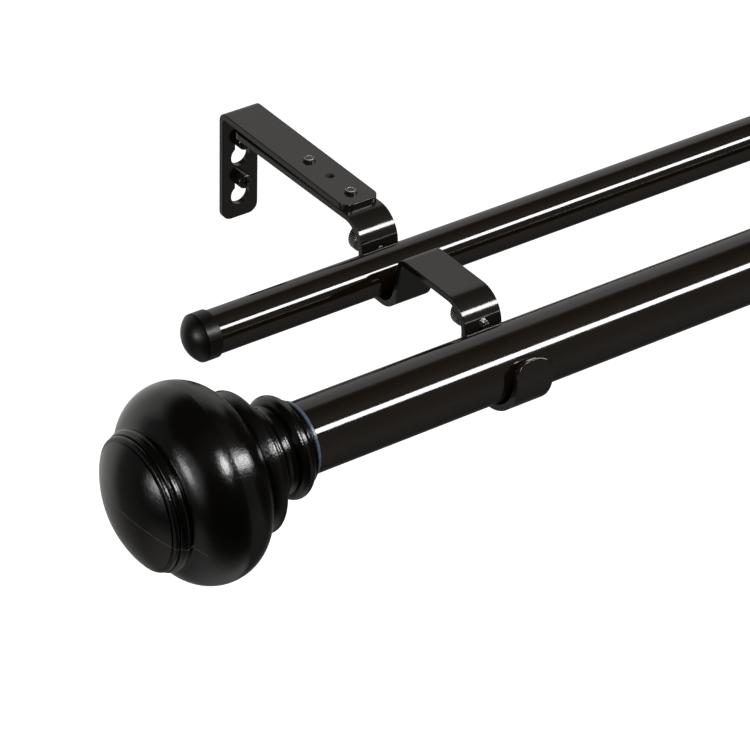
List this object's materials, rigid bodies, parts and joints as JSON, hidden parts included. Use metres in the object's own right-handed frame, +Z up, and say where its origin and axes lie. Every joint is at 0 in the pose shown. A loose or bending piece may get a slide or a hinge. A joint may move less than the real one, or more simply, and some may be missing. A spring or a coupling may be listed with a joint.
{
  "type": "double curtain pole",
  "caption": "Double curtain pole: a thick front pole with ball finials and a thin rear pole with domed caps, both telescopic, on bent strip brackets with thumb screws.",
  "frame": {"origin": "centre of the four wall screws in the wall plane, midway between the two brackets", "axes": "+X along the poles towards the end that slides out, +Y from the room into the wall along the wall screws, +Z up"},
  "size_m": [0.9382, 0.2065, 0.069],
  "materials": {
    "black_steel": "satin black powder coat",
    "black_screw": "black coated screw steel",
    "stud_steel": "plain zinc plated stud",
    "gloss_tube": "gloss black enamel with a brown tint",
    "satin_resin": "satin black moulded resin",
    "clear_plug": "milky translucent plastic",
    "cap_plastic": "satin black moulded plastic"
  },
  "bodies": {
    "held": {"wall_bracket_left": "black_steel", "support_arm_left": "black_steel", "arm_screws_left": "black_screw", "wall_screws_left": "black_screw", "finial_left": "satin_resin", "finial_stud_left": "stud_steel", "tube_plug_left": "clear_plug", "end_cap_left": "cap_plastic", "wall_bracket_right": "black_steel", "support_arm_right": "black_steel", "arm_screws_right": "black_screw", "wall_screws_right": "black_screw", "front_outer_tube": "gloss_tube", "rear_outer_tube": "gloss_tube"},
    "front_rod": {"front_inner_tube": "gloss_tube", "tube_plug_right": "clear_plug", "finial_stud_right": "stud_steel", "finial_right": "satin_resin"},
    "rear_rod": {"rear_inner_tube": "gloss_tube", "end_cap_right": "cap_plastic"},
    "thumb_front_left": {"thumb_screw_front_left": "black_screw"},
    "thumb_rear_left": {"thumb_screw_rear_left": "black_screw"},
    "thumb_front_right": {"thumb_screw_front_right": "black_screw"},
    "thumb_rear_right": {"thumb_screw_rear_right": "black_screw"}
  },
  "joints": [
    {"name": "front_rod_extend", "type": "slide", "parent": "held", "child": "front_rod", "axis": [1, 0, 0], "range_m": [-0.08, 0.4]},
    {"name": "rear_rod_extend", "type": "slide", "parent": "held", "child": "rear_rod", "axis": [1, 0, 0], "range_m": [-0.09, 0.4]},
    {"name": "thumb_front_left_turn_out", "type": "slide", "parent": "held", "child": "thumb_front_left", "axis": [0, 1, 0], "range_m": [0, 0.003]},
    {"name": "thumb_rear_left_turn_out", "type": "slide", "parent": "held", "child": "thumb_rear_left", "axis": [0, 1, 0], "range_m": [0, 0.003]},
    {"name": "thumb_front_right_turn_out", "type": "slide", "parent": "held", "child": "thumb_front_right", "axis": [0, 1, 0], "range_m": [0, 0.003]},
    {"name": "thumb_rear_right_turn_out", "type": "slide", "parent": "held", "child": "thumb_rear_right", "axis": [0, 1, 0], "range_m": [0, 0.003]}
  ]
}
